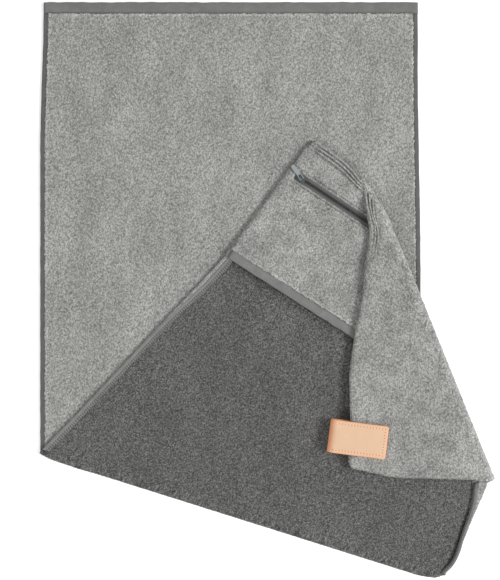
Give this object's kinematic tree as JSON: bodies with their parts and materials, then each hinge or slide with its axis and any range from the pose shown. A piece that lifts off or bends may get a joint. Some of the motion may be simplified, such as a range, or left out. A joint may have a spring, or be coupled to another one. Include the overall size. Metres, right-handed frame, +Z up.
{
  "type": "golf towel",
  "caption": "Hooded golf and bench towel, folded over twice, with a zipped pocket on the hood and a folded leather clip that holds by magnets.",
  "frame": {"origin": "middle of the bottom of the whole object's box, on the surface that the towel lies on", "axes": "+Z up, +Y towards the towel's near end (the flat-hemmed end), +X across the towel towards the folded corner"},
  "size_m": [0.5134, 0.6558, 0.0266],
  "materials": {
    "light_terry": "light grey looped terry",
    "dark_pile": "dark grey short dense pile",
    "hem": "flat woven hem with lock stitches",
    "zip_tape": "fine woven tape",
    "zip_coil": "nylon coil",
    "zip_metal": "satin plated zinc",
    "clip_leather": "natural tan leather, burnished edges",
    "clip_suede": "suede side of the same leather",
    "magnet": "nickel plated"
  },
  "bodies": {
    "lower_panel": {"lower_backing": "dark_pile", "lower_terry": "light_terry", "near_end_hem": "hem", "lower_right_hem": "hem", "lower_left_hem": "hem", "first_fold_terry": "light_terry", "first_fold_backing": "dark_pile"},
    "upper_panel": {"upper_terry": "light_terry", "upper_backing": "dark_pile", "upper_left_hem": "hem", "upper_right_hem": "hem", "hood_lining": "dark_pile", "hood_panel": "light_terry", "hood_opening_hem": "hem", "zip_top_stop": "zip_metal", "zip_bottom_stop": "zip_metal", "zip_tape_far": "zip_tape", "zip_coil_far": "zip_coil", "zip_tape_near": "zip_tape", "zip_coil_near": "zip_coil", "second_fold_hood_terry": "light_terry", "second_fold_lining": "dark_pile", "second_fold_backing": "dark_pile", "second_fold_terry": "light_terry"},
    "corner_flap": {"flap_hood_panel": "light_terry", "flap_hood_lining": "dark_pile", "flap_hood_hem": "hem", "flap_backing": "dark_pile", "flap_terry": "light_terry"},
    "magnet_clip": {"clip_cover": "clip_leather", "clip_lining": "clip_suede", "clip_magnet_upper": "magnet", "clip_magnet_lower": "magnet"},
    "slider": {"zip_slider": "zip_metal"},
    "pull": {"zip_pull": "zip_metal"}
  },
  "joints": [
    {"name": "first_fold", "type": "hinge", "parent": "lower_panel", "child": "upper_panel", "pos_m": [-0.25565, -0.18006, 0.00365], "axis": [0.9537, -0.3007, 0], "range_deg": [0, 150], "deforming": ["first_fold_terry", "first_fold_backing"]},
    {"name": "second_fold", "type": "hinge", "parent": "upper_panel", "child": "corner_flap", "pos_m": [0.10781, 0.12802, 0.013], "axis": [-0.3746, 0.9272, 0], "range_deg": [0, 150], "deforming": ["second_fold_hood_terry", "second_fold_lining", "second_fold_backing", "second_fold_terry"]},
    {"name": "clip_pull_off", "type": "slide", "parent": "corner_flap", "child": "magnet_clip", "axis": [-0.9919, 0.1271, 0], "range_m": [0, 0.048]},
    {"name": "zip_run", "type": "slide", "parent": "upper_panel", "child": "slider", "axis": [0.8339, -0.5519, 0], "range_m": [0, 0.09]},
    {"name": "pull_swing", "type": "hinge", "parent": "slider", "child": "pull", "pos_m": [0.03737, 0.12648, 0.0131], "axis": [0.807, 0.5906, 0], "range_deg": [0, 170]}
  ]
}
